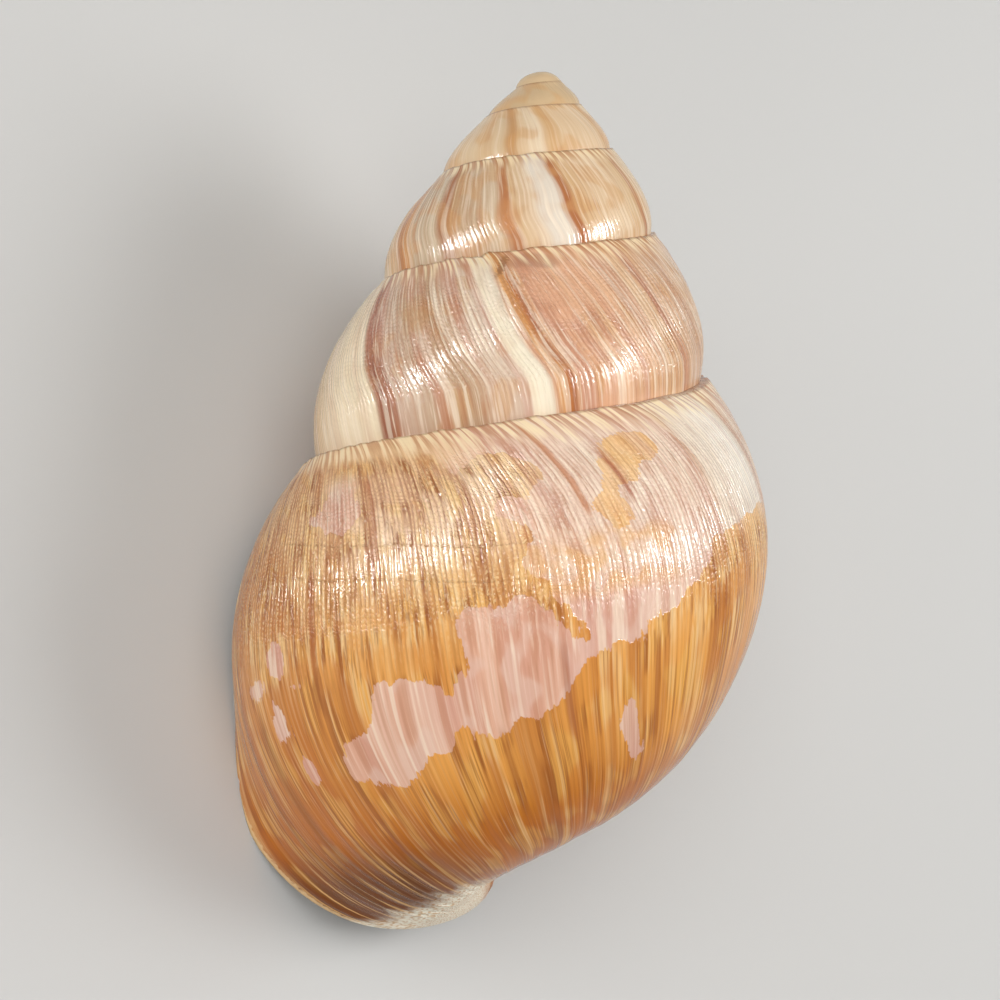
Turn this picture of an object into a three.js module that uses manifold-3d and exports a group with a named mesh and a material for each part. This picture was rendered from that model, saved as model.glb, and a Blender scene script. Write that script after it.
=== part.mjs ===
// Land snail shell, right-handed, about 130 mm long, lying on a surface on its outer lip and
// the side of its body whorl. Lengths are in mm and angles in degrees.
//
// The shell is drawn by its growth. A growth line is the edge that the opening had at one
// time: it runs from the seam with the whorl above (place 0), round the widest part (place 1)
// and the base (place 2) to the pillar in the middle (place 3). Time is counted in turns from
// the tip, and depth is measured down the axis from the tip.
import * as THREE from 'three';
import { ParametricGeometry } from 'three/addons/geometries/ParametricGeometry.js';
import { mergeVertices } from 'three/addons/utils/BufferGeometryUtils.js';
import Module from 'manifold-3d';

// Growth of the seam: radius and depth as polynomials of the turns
const SEAM_RADIUS = [1.26, 0.694, 0.9446];
const SEAM_DEPTH = [0, 4.333, -1.4252, 0.5115];
const TURNS = 5.4;
const LIP_BEARING = 94.2;

// Shape of a whorl, in parts of its largest radius
const WIDEST_RADIUS = 0.9693;
const WIDEST_DROP = 0.6653;
const BASE_DROP = 0.9626;
const BASE_RADIUS = 0.3185;
const PILLAR_RADIUS = 0.085;
const PILLAR_RISE = 0.35;
const SHOULDER_SLOPE = 49.4;
const SHOULDER_PULL = 0.336;
const SIDE_PULL = 0.339;
const FLANK_PULL = 0.397;
const FLOOR_PULL = 0.596;
const JOINT_REACH = 0.07;
const AXIS_BOW = 1.79;
const HALF_LENGTH = 65;

// Slant of the growth lines, in degrees ahead of the widest part
const SLANT = 3.1;
const SLANT_CURVE = 23.3;
const NECK_PLACE = 1.7;
const PILLAR_LEAD = 44.6;
const PILLAR_LEAD_SLOPE = 71.3;

// Flare of the lip
const FLARE = 5.69;
const FLARE_FADE = 7.31;
const FLARE_START = 1.056;
const FLARE_DROP = 0.026;

// Wall
const WALL_AT_TIP = 0.45;
const WALL_AT_LIP = 1.25;
const LIP_THINNING = 0.5;
const LIP_THINNING_FADE = 6;

// Tip and pillar
const TIP_RADIUS = 3.3;
const TIP_CENTRE_DEPTH = 4.5;
const PILLAR_TOP = [[0.1, 3], [2.5, 3.2], [3.0, 5], [1.6, 8]];
const PILLAR_START = 1.1;
const PILLAR_END = 5.34;
const PILLAR_STOUTNESS = 0.6;
const PILLAR_STEPS = 8;
const PILLAR_SIDES = 10;

// The wall is made in lengths: the turns at which each ends, its rings per turn and the places
// on a growth line that its rings are drawn through (-1 is the edge let into the whorl above)
const SPIRE_PLACES = [-1, 0, 0.3, 0.65, 1, 1.5, 2, 3];
const MIDDLE_PLACES = [-1, 0, 0.16, 0.36, 0.6, 0.85, 1.1, 1.5, 2, 3];
const BODY_PLACES = [-1, 0, 0.16, 0.36, 0.6, 0.85, 1.1, 1.3, 1.5, 1.68, 1.84, 2, 2.25, 2.6, 3];
const WALL_START = 0.3;
const WALL_LENGTHS = [
  { end: 0.75, rings: 16, places: SPIRE_PLACES },
  { end: 1.5, rings: 16, places: SPIRE_PLACES },
  { end: 2.25, rings: 18, places: SPIRE_PLACES },
  { end: 3.0, rings: 20, places: SPIRE_PLACES },
  { end: 3.8, rings: 24, places: MIDDLE_PLACES },
  { end: 4.6, rings: 26, places: BODY_PLACES },
  { end: TURNS, rings: 26, places: BODY_PLACES },
];
const TAPER = 0.012;
const LIP_RINGS = [0.03, 0.016, 0.007, 0.002];

// How the shell lies: the bearing and pitch of the side that faces down, and how deep the
// touching places are worn flat
const DOWN_BEARING = 151;
const DOWN_PITCH = -15;
const WORN_FLAT = 0.25;
const ROOM = 400;

// Surface
const COLOUR = 0xc08a4e;
const ROUGHNESS = 0.35;

const radians = THREE.MathUtils.degToRad;
const clamp = THREE.MathUtils.clamp;
const smoothstep = THREE.MathUtils.smoothstep;
const lerp = THREE.MathUtils.lerp;

function polynomial(factors, x) {
  return factors.reduceRight((sum, factor) => sum * x + factor, 0);
}

function bezier(a, b, c, d, x) {
  const y = 1 - x;
  return y * y * y * a + 3 * y * y * x * b + 3 * y * x * x * c + x * x * x * d;
}

// Radius and depth of a whorl's outside in the half plane through the axis
function section(turns, place) {
  const seamRadius = polynomial(SEAM_RADIUS, turns);
  const seamDepth = polynomial(SEAM_DEPTH, turns);
  const wide = polynomial(SEAM_RADIUS, turns + 1) * WIDEST_RADIUS;
  const wideDepth = seamDepth + WIDEST_DROP * wide;
  const baseRadius = BASE_RADIUS * wide;
  const drop = BASE_DROP * wide;
  if (place < 0) {
    return [seamRadius * (1 + JOINT_REACH * place), seamDepth];
  }
  if (place <= 1) {
    const span = Math.hypot(wide - seamRadius, wideDepth - seamDepth);
    const out = SHOULDER_PULL * span * Math.cos(radians(SHOULDER_SLOPE));
    const down = SHOULDER_PULL * span * Math.sin(radians(SHOULDER_SLOPE));
    return [
      bezier(seamRadius, seamRadius + out, wide, wide, place),
      bezier(seamDepth, seamDepth + down, wideDepth - SIDE_PULL * span, wideDepth, place),
    ];
  }
  if (place <= 2) {
    const floorPull = baseRadius + FLOOR_PULL * (wide - baseRadius);
    return [
      bezier(wide, wide, floorPull, baseRadius, place - 1),
      bezier(wideDepth, wideDepth + FLANK_PULL * drop, wideDepth + drop, wideDepth + drop, place - 1),
    ];
  }
  const pillar = PILLAR_RADIUS * wide;
  const rise = PILLAR_RISE * wide;
  const baseDepth = wideDepth + drop;
  return [
    bezier(baseRadius, 0.6 * baseRadius + 0.4 * pillar, pillar, pillar, place - 2),
    bezier(baseDepth, baseDepth, baseDepth - 0.35 * rise, baseDepth - rise, place - 2),
  ];
}

// Inner face of the wall: the section moved inwards by the wall's thickness
function innerSection(turns, place, wall) {
  const small = 0.001;
  const at = Math.max(place, 0);
  const [r, t] = section(turns, place);
  const [r0, t0] = section(turns, Math.max(at - small, 0));
  const [r1, t1] = section(turns, Math.min(at + small, 3));
  const length = Math.hypot(r1 - r0, t1 - t0);
  return [r - wall * (t1 - t0) / length, t + wall * (r1 - r0) / length];
}

// Degrees by which a growth line runs ahead of where it is at the widest part
function lead(place) {
  const cubic = (x) => -SLANT * x - SLANT_CURVE * x * x * x;
  const at = Math.max(place, 0);
  if (at <= NECK_PLACE) {
    return cubic(at - 1);
  }
  const span = 3 - NECK_PLACE;
  const neck = NECK_PLACE - 1;
  const slope = -SLANT - 3 * SLANT_CURVE * neck * neck;
  const x = (at - NECK_PLACE) / span;
  return bezier(
    cubic(neck), cubic(neck) + slope * span / 3,
    PILLAR_LEAD - PILLAR_LEAD_SLOPE * span / 3, PILLAR_LEAD, x,
  );
}

// A point of the outer face (depthInWall 0) or of the inner face (depthInWall 1)
function shellPoint(time, place, depthInWall, target) {
  const turns = time + lead(place) / 360;
  const beforeLip = (TURNS - time) * 360;
  const thinning = 1 - LIP_THINNING * Math.exp(-beforeLip / LIP_THINNING_FADE);
  const wall = lerp(WALL_AT_TIP, WALL_AT_LIP, clamp(time / TURNS, 0, 1)) * thinning;
  const outer = section(turns, place);
  const inner = innerSection(turns, place, wall);
  const belowWidest = smoothstep(place, FLARE_START, FLARE_START + 0.5);
  const nearPillar = 1 - 0.6 * clamp(place - 2, 0, 1);
  const flare = FLARE * belowWidest * nearPillar * Math.exp(-beforeLip / FLARE_FADE);
  const r = lerp(outer[0], inner[0], depthInWall) + flare;
  const t = lerp(outer[1], inner[1], depthInWall) + flare * FLARE_DROP;
  const bearing = radians(LIP_BEARING + 360 * (turns - TURNS));
  const bow = AXIS_BOW * ((t - HALF_LENGTH) / HALF_LENGTH) ** 2;
  return target.set(bow - r * Math.sin(bearing), -r * Math.cos(bearing), -t);
}

// One length of the spiral wall, closed: each ring goes out along the outer face and back
// along the inner face, and the rings at both ends are pinched together
function wallLength(start, end, ringsPerTurn, places) {
  const count = Math.max(2, Math.round((end - start) * ringsPerTurn));
  const times = [start - TAPER, start];
  for (let i = 1; i < count; i += 1) {
    times.push(lerp(start, end, i / count));
  }
  if (end === TURNS) {
    LIP_RINGS.forEach((before) => times.push(end - before));
    times.push(end);
  } else {
    times.push(end, end + TAPER);
  }
  const loop = [
    ...places.map((place) => [place, 0]),
    ...places.toReversed().map((place) => [place, 1]),
  ];
  loop.push(loop[0]);
  const slices = loop.length - 1;
  const stacks = times.length - 1;
  const draw = (around, along, target) => {
    const ring = clamp(Math.round(along * stacks), 0, stacks);
    const [place, side] = loop[clamp(Math.round(around * slices), 0, slices)];
    const pinched = ring === 0 || ring === stacks;
    return shellPoint(times[ring], place, pinched ? 0.5 : side, target);
  };
  return new ParametricGeometry(draw, slices, stacks);
}

// The solid pillar up the middle, and the rounded tip
function pillarGeometry() {
  const outline = PILLAR_TOP.map(([r, t]) => new THREE.Vector2(r, -t));
  for (let i = 0; i <= PILLAR_STEPS; i += 1) {
    const share = i / PILLAR_STEPS;
    const turns = lerp(PILLAR_START, PILLAR_END, share);
    const [r, t] = section(turns, 3);
    outline.push(new THREE.Vector2(r + PILLAR_STOUTNESS, -t));
  }
  const foot = outline[outline.length - 1];
  outline.push(new THREE.Vector2(foot.x * 0.5, foot.y - foot.x * 0.4));
  outline.push(new THREE.Vector2(0, foot.y - foot.x * 0.5));
  outline.unshift(new THREE.Vector2(0, outline[0].y));
  const geometry = new THREE.LatheGeometry(outline.reverse(), PILLAR_SIDES);
  geometry.rotateX(Math.PI / 2);
  return geometry;
}

function tipGeometry() {
  const geometry = new THREE.SphereGeometry(TIP_RADIUS, 14, 8);
  geometry.rotateX(Math.PI / 2);
  geometry.translate(AXIS_BOW, 0, -TIP_CENTRE_DEPTH);
  return geometry;
}

const wasm = await Module();
wasm.setup();

// A closed body for joining: merged corners, no empty triangles, faces outwards
function solid(geometry) {
  const bare = geometry.clone();
  bare.deleteAttribute('normal');
  bare.deleteAttribute('uv');
  const merged = mergeVertices(bare, 1e-5);
  const corners = merged.index.array;
  const kept = [];
  for (let i = 0; i < corners.length; i += 3) {
    const [a, b, c] = corners.slice(i, i + 3);
    if (a !== b && b !== c && c !== a) {
      kept.push(a, b, c);
    }
  }
  const make = (triVerts) => new wasm.Manifold(new wasm.Mesh({
    numProp: 3,
    vertProperties: new Float32Array(merged.attributes.position.array),
    triVerts: new Uint32Array(triVerts),
  }));
  const body = make(kept);
  if (body.volume() > 0) {
    return body;
  }
  return make(kept.toReversed());
}

function bowed(geometry) {
  const position = geometry.attributes.position;
  for (let i = 0; i < position.count; i += 1) {
    const fromMiddle = (-position.getZ(i) - HALF_LENGTH) / HALF_LENGTH;
    position.setX(i, position.getX(i) + AXIS_BOW * fromMiddle ** 2);
  }
  return geometry;
}

// Join the tip, the pillar and every length of the wall
let shell = solid(tipGeometry()).add(solid(bowed(pillarGeometry())));
let start = WALL_START;
for (const { end, rings, places } of WALL_LENGTHS) {
  shell = shell.add(solid(wallLength(start, end, rings, places)));
  start = end;
}

// Lay the shell down: the chosen side faces down and the tip points along +Y
function geometryOf(body) {
  const mesh = body.getMesh();
  const geometry = new THREE.BufferGeometry();
  geometry.setAttribute('position', new THREE.BufferAttribute(mesh.vertProperties, 3));
  geometry.setIndex(new THREE.BufferAttribute(mesh.triVerts, 1));
  return geometry;
}

const bearing = radians(DOWN_BEARING);
const pitch = radians(DOWN_PITCH);
const up = new THREE.Vector3(
  Math.sin(bearing) * Math.cos(pitch),
  Math.cos(bearing) * Math.cos(pitch),
  -Math.sin(pitch),
);
const forward = new THREE.Vector3(0, 0, 1).addScaledVector(up, -up.z).normalize();
const right = new THREE.Vector3().crossVectors(forward, up);
const turn = new THREE.Matrix4().makeBasis(right, forward, up).transpose();

const lying = geometryOf(shell).applyMatrix4(turn);
lying.computeBoundingBox();
lying.translate(0, 0, -lying.boundingBox.min.z - WORN_FLAT);
const above = new THREE.BoxGeometry(ROOM, ROOM, ROOM).translate(0, 0, ROOM / 2);
const worn = solid(lying).intersect(solid(above));
const bodies = worn.decompose().sort((a, b) => b.volume() - a.volume());
const placed = geometryOf(bodies[0]);
placed.computeBoundingBox();
const middle = placed.boundingBox.getCenter(new THREE.Vector3());
placed.translate(-middle.x, -middle.y, -placed.boundingBox.min.z);

const material = new THREE.MeshStandardMaterial({
  color: COLOUR,
  roughness: ROUGHNESS,
  metalness: 0,
});
const mesh = new THREE.Mesh(placed, material);
mesh.name = 'shell';

const snailShell = new THREE.Group();
snailShell.name = 'land_snail_shell';
snailShell.add(mesh);

export default snailShell;
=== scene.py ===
"""Land snail shell, lying on its outer lip and body whorl, seen from the back of the opening.

The shell's surface is drawn by its growth, as in the solid: time is counted in turns from the
tip, and place runs along a growth line from the seam (0) round the widest part (1) and the
base (2) to the pillar (3). Shape values are in millimetres and degrees.
"""
import math

import bpy
import numpy as np
from mathutils import Matrix, Vector


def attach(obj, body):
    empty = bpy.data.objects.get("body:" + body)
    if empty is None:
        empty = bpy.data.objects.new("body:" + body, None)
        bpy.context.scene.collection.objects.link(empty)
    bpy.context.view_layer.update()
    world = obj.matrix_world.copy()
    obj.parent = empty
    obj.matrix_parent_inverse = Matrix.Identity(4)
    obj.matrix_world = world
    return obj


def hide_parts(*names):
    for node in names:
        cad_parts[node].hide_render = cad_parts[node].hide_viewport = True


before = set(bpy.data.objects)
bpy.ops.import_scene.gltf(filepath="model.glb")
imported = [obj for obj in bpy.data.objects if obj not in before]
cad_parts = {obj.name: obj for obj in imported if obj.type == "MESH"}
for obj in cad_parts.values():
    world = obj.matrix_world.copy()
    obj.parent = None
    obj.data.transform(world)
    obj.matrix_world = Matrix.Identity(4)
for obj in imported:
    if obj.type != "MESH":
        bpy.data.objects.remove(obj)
bpy.context.scene.view_settings.view_transform = "Standard"
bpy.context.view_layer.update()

MM = 0.001

# Growth of the seam: radius and depth as polynomials of the turns
SEAM_RADIUS = (1.26, 0.694, 0.9446)
SEAM_DEPTH = (0, 4.333, -1.4252, 0.5115)
TURNS = 5.4
FIRST_TIME = 0.5
LIP_BEARING = 94.2

# Shape of a whorl, in parts of its largest radius
WIDEST_RADIUS = 0.9693
WIDEST_DROP = 0.6653
BASE_DROP = 0.9626
BASE_RADIUS = 0.3185
PILLAR_RADIUS = 0.085
PILLAR_RISE = 0.35
SHOULDER_SLOPE = 49.4
SHOULDER_PULL = 0.336
SIDE_PULL = 0.339
FLANK_PULL = 0.397
FLOOR_PULL = 0.596
JOINT_REACH = 0.07
AXIS_BOW = 1.79
HALF_LENGTH = 65

# Slant of the growth lines and flare of the lip
SLANT = 3.1
SLANT_CURVE = 23.3
NECK_PLACE = 1.7
PILLAR_LEAD = 44.6
PILLAR_LEAD_SLOPE = 71.3
FLARE = 5.69
FLARE_FADE = 7.31
FLARE_START = 1.056
FLARE_DROP = 0.026

# Radius of the tip's dome at each share of a turn back from where the wall starts
TIP_SHARES = (0, 0.12, 0.25, 0.5, 0.75, 0.9, 1.0)
TIP_RADII = (4.22, 3.95, 3.6, 3.16, 3.18, 3.5, 4.22)

# Wall, tip and pillar
WALL_AT_TIP = 0.45
WALL_AT_LIP = 1.25
LIP_THINNING = 0.5
LIP_THINNING_FADE = 6
TIP_CENTRE_DEPTH = 4.72
TIP_HEIGHT = 2.8
PILLAR_TURNS = (1.6, 5.43)
PILLAR_STOUTNESS = 0.6
FOOT_FROM = 5.08
FOOT_RADIUS = 1.2
FOOT_REACH = 0.8

# How the shell lies
DOWN_BEARING = 151
DOWN_PITCH = -15
SEAT = Vector((2.892, 62.997, 48.571))
CLEARANCE = 0.01

# Millimetres that 1 stands for in the maps of lengths and in the map of wear
LENGTH_UNIT = 100
WEAR_UNIT = 10


def polynomial(factors, x):
    return sum(factor * x ** power for power, factor in enumerate(factors))


def bezier(a, b, c, d, x):
    y = 1 - x
    return y ** 3 * a + 3 * y * y * x * b + 3 * y * x * x * c + x ** 3 * d


def smooth(x, low, high):
    x = np.clip((x - low) / (high - low), 0, 1)
    return x * x * (3 - 2 * x)


def section(turns, place):
    """Radius and depth of a whorl's outside in the half plane through the axis."""
    seam_radius = polynomial(SEAM_RADIUS, turns)
    seam_depth = polynomial(SEAM_DEPTH, turns)
    wide = polynomial(SEAM_RADIUS, turns + 1) * WIDEST_RADIUS
    wide_depth = seam_depth + WIDEST_DROP * wide
    base_radius = BASE_RADIUS * wide
    drop = BASE_DROP * wide
    pillar = PILLAR_RADIUS * wide
    rise = PILLAR_RISE * wide
    base_depth = wide_depth + drop
    span = np.hypot(wide - seam_radius, wide_depth - seam_depth)
    out = SHOULDER_PULL * span * math.cos(math.radians(SHOULDER_SLOPE))
    down = SHOULDER_PULL * span * math.sin(math.radians(SHOULDER_SLOPE))
    floor = base_radius + FLOOR_PULL * (wide - base_radius)
    x = np.clip(place, 0, 1)
    upper = (bezier(seam_radius, seam_radius + out, wide, wide, x),
             bezier(seam_depth, seam_depth + down, wide_depth - SIDE_PULL * span, wide_depth, x))
    x = np.clip(place - 1, 0, 1)
    lower = (bezier(wide, wide, floor, base_radius, x),
             bezier(wide_depth, wide_depth + FLANK_PULL * drop, base_depth, base_depth, x))
    x = np.clip(place - 2, 0, 1)
    inner = (bezier(base_radius, 0.6 * base_radius + 0.4 * pillar, pillar, pillar, x),
             bezier(base_depth, base_depth, base_depth - 0.35 * rise, base_depth - rise, x))
    joint = (seam_radius * (1 + JOINT_REACH * place), seam_depth)
    choices = [place < 0, place <= 1, place <= 2]
    return [np.select(choices, [joint[k], upper[k], lower[k]], inner[k]) for k in (0, 1)]


def lead(place):
    """Degrees by which a growth line runs ahead of where it is at the widest part."""
    def cubic(x):
        return -SLANT * x - SLANT_CURVE * x ** 3
    at = np.maximum(place, 0)
    span = 3 - NECK_PLACE
    neck = NECK_PLACE - 1
    slope = -SLANT - 3 * SLANT_CURVE * neck * neck
    x = np.clip((at - NECK_PLACE) / span, 0, 1)
    curl = bezier(cubic(neck), cubic(neck) + slope * span / 3,
                  PILLAR_LEAD - PILLAR_LEAD_SLOPE * span / 3, PILLAR_LEAD, x)
    return np.where(at <= NECK_PLACE, cubic(at - 1), curl)


def bearing_at(turns):
    """Direction round the axis, in radians."""
    return np.radians(LIP_BEARING + 360 * (turns - TURNS))


def bow_at(depth):
    """How far the axis is bowed to the side."""
    return AXIS_BOW * ((depth - HALF_LENGTH) / HALF_LENGTH) ** 2


def shell_points(time, place):
    """Points of the outer face, in millimetres, with the tip up and the back towards -Y."""
    turns = time + lead(place) / 360
    radius, depth = section(turns, place)
    before_lip = (TURNS - time) * 360
    flare = FLARE * smooth(place, FLARE_START, FLARE_START + 0.5)
    flare = flare * (1 - 0.6 * np.clip(place - 2, 0, 1)) * np.exp(-before_lip / FLARE_FADE)
    radius = radius + flare
    depth = depth + flare * FLARE_DROP
    bearing = bearing_at(turns)
    return np.stack([bow_at(depth) - radius * np.sin(bearing), -radius * np.cos(bearing), -depth], -1)


def along(time):
    """Length grown at the widest part, in millimetres from the tip."""
    a, b, c = SEAM_RADIUS
    end = time + 1
    return 2 * math.pi * WIDEST_RADIUS * (a * time + b * (end ** 2 - 1) / 2 + c * (end ** 3 - 1) / 3)


def width_of(time):
    """Rough length of a growth line from the seam to the widest part."""
    return 1.15 * WIDEST_RADIUS * polynomial(SEAM_RADIUS, time + 1)


def wander(x, seed):
    """A smooth random curve through one value for each whole number."""
    count = 2048
    values = np.random.default_rng(seed).uniform(-1, 1, count)
    low = np.floor(x).astype(int)
    share = smooth(x - low, 0, 1)
    return values[low % count] * (1 - share) + values[(low + 1) % count] * share


# Laying the shell down: shell axes to row axes
pitch = math.radians(DOWN_PITCH)
bearing = math.radians(DOWN_BEARING)
UP = Vector((math.sin(bearing) * math.cos(pitch), math.cos(bearing) * math.cos(pitch), -math.sin(pitch)))
FORWARD = (Vector((0, 0, 1)) - UP.z * UP).normalized()
RIGHT = FORWARD.cross(UP)
LAY = Matrix((RIGHT, FORWARD, UP))


def lay_down(points):
    """Shell points in millimetres to row-frame points in metres, all just above what it lies on."""
    laid = points @ np.array(LAY).T + np.array(SEAT)
    laid[..., 2] = np.maximum(laid[..., 2], CLEARANCE)
    return laid * MM


# Shape of the surface: what the growth left on it
def relief(time, place):
    """Height of swellings, scars and ridges over the plain surface, in millimetres."""
    length = along(time)
    old = smooth(length, 60, 300)
    swell = old * (0.10 * wander(length / 4.7, 3) + 0.05 * wander(length / 1.9 + place, 4))
    valley = smooth(length, 572, 600) * smooth(place, 1.4, 1.7) * (1 - smooth(place, 1.9, 2.3))
    ridges = valley * 0.28 * wander(length / 1.25 + 0.3 * place, 5)
    crimp = old * 0.16 * (1 - smooth(place, 0.0, 0.12)) * (place >= 0) * wander(length / 1.1, 6)
    scar_at = 340.5 + 5 * smooth(place, 0.0, 0.25) - 5 * smooth(place, 0.5, 1.1)
    scar = 0.35 * np.exp(-((length - scar_at) / 0.8) ** 2) * (1 - 0.6 * smooth(place, 0.3, 0.9))
    scar = scar - 0.25 * np.exp(-((length - scar_at + 2.5) / 2) ** 2) * (1 - smooth(place, 0.2, 0.5))
    return swell + ridges + crimp + scar * (length > 320) * (length < 360)


def deselect_all():
    if bpy.context.mode != "OBJECT":
        bpy.ops.object.mode_set(mode="OBJECT")
    bpy.ops.object.select_all(action="DESELECT")


def only(piece):
    deselect_all()
    piece.select_set(True)
    bpy.context.view_layer.objects.active = piece


# Growth steps: fine on the body whorl, coarser up the spire
STEPS_PER_TURN = (
    (FIRST_TIME, 80), (3.0, 80), (3.4, 150), (4.2, 205), (4.5, 365), (TURNS - 0.03, 400), (TURNS, 800),
)
PLACES = np.concatenate([
    [-1, -0.4, 0, 0.02, 0.045, 0.075, 0.11, 0.15], np.linspace(0.19, 1, 26)[:-1],
    np.linspace(1, 2, 25)[:-1], np.linspace(2, 3, 10)])

# Past this place and before this time, later whorls cover the wall, and it is left out
HIDDEN_FROM_PLACE = 1.22
HIDDEN_TO_TIME = 4.05


def growth_times():
    dense = np.linspace(FIRST_TIME, TURNS, 20001)
    rate = np.interp(dense, *zip(*STEPS_PER_TURN))
    count = np.concatenate([[0], np.cumsum((rate[1:] + rate[:-1]) / 2 * np.diff(dense))])
    steps = int(round(count[-1]))
    return np.interp(np.linspace(0, count[-1], steps + 1), count, dense)


def read_corners(mesh):
    co = np.empty(len(mesh.vertices) * 3)
    mesh.vertices.foreach_get("co", co)
    return co.reshape(-1, 3)


def write_corners(mesh, co):
    mesh.vertices.foreach_set("co", np.ascontiguousarray(co, dtype=np.float32).ravel())
    mesh.update()


def paint_map(mesh, name, at_vertex):
    """A UV map whose value at each corner is that of its vertex."""
    layer = mesh.uv_layers.new(name=name)
    vertex = np.empty(len(mesh.loops), dtype=np.int32)
    mesh.loops.foreach_get("vertex_index", vertex)
    layer.data.foreach_set("uv", np.ascontiguousarray(at_vertex[vertex], dtype=np.float32).ravel())


def paint_maps(mesh, growth, skin, wear):
    """The three maps that the materials read, in place of the primitive's own."""
    while mesh.uv_layers:
        mesh.uv_layers.remove(mesh.uv_layers[0])
    for name, at_vertex in (("growth", growth), ("skin", skin), ("wear", wear)):
        paint_map(mesh, name, at_vertex)


def make_wall():
    """The spiral wall: a grid with growth along x and place along y, wound up, then thickened."""
    times = growth_times()
    columns, rows = len(times) - 1, len(PLACES) - 1
    deselect_all()
    bpy.ops.mesh.primitive_grid_add(x_subdivisions=columns, y_subdivisions=rows, size=2,
                                    location=(0, 0, 0))
    wall = bpy.context.object
    wall.name = "shell_wall"
    mesh = wall.data
    co = read_corners(mesh)
    column = np.rint((co[:, 0] + 1) / 2 * columns)
    row = np.rint((co[:, 1] + 1) / 2 * rows)
    hidden = int(np.searchsorted(PLACES, HIDDEN_FROM_PLACE))
    old = int(np.searchsorted(times, HIDDEN_TO_TIME))
    covered = [(face.center.x + 1) / 2 * columns < old and (face.center.y + 1) / 2 * rows > hidden
               for face in mesh.polygons]
    time = times[column.astype(int)]
    place = PLACES[row.astype(int)]
    points = shell_points(time, place)
    step = 1e-4
    ahead = shell_points(time + step, place) - points
    across = points - shell_points(time, place - step)
    normal = np.cross(across, ahead)
    normal /= np.linalg.norm(normal, axis=1, keepdims=True)
    points = points + normal * relief(time, place)[:, None]
    write_corners(mesh, lay_down(points))
    length = along(time)
    grown = length - course(length, place)
    paint_maps(mesh, np.stack([length / LENGTH_UNIT, place], -1),
               np.stack([grown / LENGTH_UNIT, place * width_of(time) / LENGTH_UNIT], -1),
               np.stack([bare_distance(length, place) / WEAR_UNIT, np.zeros(len(length))], -1))
    thin = 1 - LIP_THINNING * np.exp(-(TURNS - time) * 360 / LIP_THINNING_FADE)
    thickness = (WALL_AT_TIP + (WALL_AT_LIP - WALL_AT_TIP) * time / TURNS) * thin / WALL_AT_LIP
    group = wall.vertex_groups.new(name="thickness")
    for index, weight in enumerate(thickness):
        group.add([index], float(weight), "REPLACE")
    only(wall)
    bpy.ops.object.mode_set(mode="EDIT")
    bpy.ops.mesh.select_mode(type="FACE")
    bpy.ops.mesh.select_all(action="DESELECT")
    bpy.ops.object.mode_set(mode="OBJECT")
    mesh.polygons.foreach_set("select", covered)
    bpy.ops.object.mode_set(mode="EDIT")
    bpy.ops.mesh.delete(type="FACE")
    bpy.ops.object.mode_set(mode="OBJECT")
    wall.data.materials.append(None)
    wall.data.materials.append(None)
    solidify = wall.modifiers.new("wall", "SOLIDIFY")
    solidify.thickness = WALL_AT_LIP * MM
    solidify.offset = -1
    solidify.vertex_group = "thickness"
    solidify.material_offset = 1
    solidify.material_offset_rim = 1
    bpy.ops.object.modifier_apply(modifier="wall")
    bpy.ops.object.shade_smooth()
    return wall


def make_tip():
    """The rounded tip, a dome that widens round to the start of the wall and closes it."""
    deselect_all()
    bpy.ops.mesh.primitive_uv_sphere_add(segments=64, ring_count=32, radius=1, location=(0, 0, 0))
    tip = bpy.context.object
    tip.name = "shell_tip"
    co = read_corners(tip.data)
    start = LIP_BEARING + 360 * (FIRST_TIME - TURNS)
    bearing = np.degrees(np.arctan2(-co[:, 0], -co[:, 1]))
    radius = np.interp((start - bearing) / 360 % 1, TIP_SHARES, TIP_RADII)
    co[:, :2] *= radius[:, None]
    co[:, 2] = co[:, 2] * TIP_HEIGHT - TIP_CENTRE_DEPTH
    co[:, 0] += bow_at(-co[:, 2])
    write_corners(tip.data, lay_down(co))
    flat = np.tile((0.06, 0.5), (len(co), 1))
    paint_maps(tip.data, flat, flat, np.tile((WEAR_REACH / WEAR_UNIT, 0), (len(co), 1)))
    bpy.ops.object.shade_smooth()
    return tip


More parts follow.
